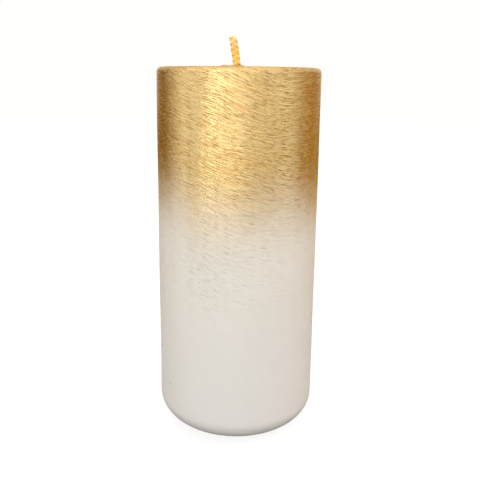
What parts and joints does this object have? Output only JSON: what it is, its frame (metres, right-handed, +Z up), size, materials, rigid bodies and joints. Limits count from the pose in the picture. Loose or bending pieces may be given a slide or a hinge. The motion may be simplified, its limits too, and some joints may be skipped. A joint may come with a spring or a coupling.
{
  "type": "unity candle",
  "caption": "Tall round pillar candle of ivory wax with a softly rounded foot, a brushed gold top that fades down its side, and a plaited wick.",
  "frame": {"origin": "centre of the flat base, on the surface that the candle stands on", "axes": "+Z up along the candle's axis to the wick, and -X the way that the wick leans"},
  "size_m": [0.068, 0.068, 0.1621],
  "materials": {
    "pressed_wax": "matte",
    "ivory_wax": "satin",
    "brushed_gold": "satin",
    "tinplate": "satin",
    "waxed_cotton": "matte"
  },
  "bodies": {
    "root": {"wax_core": "pressed_wax", "dipped_skin": "ivory_wax", "gold_coat": "brushed_gold", "wick_clip": "tinplate", "wick_plait_a": "waxed_cotton", "wick_plait_b": "waxed_cotton", "wick_plait_c": "waxed_cotton"}
  },
  "joints": []
}
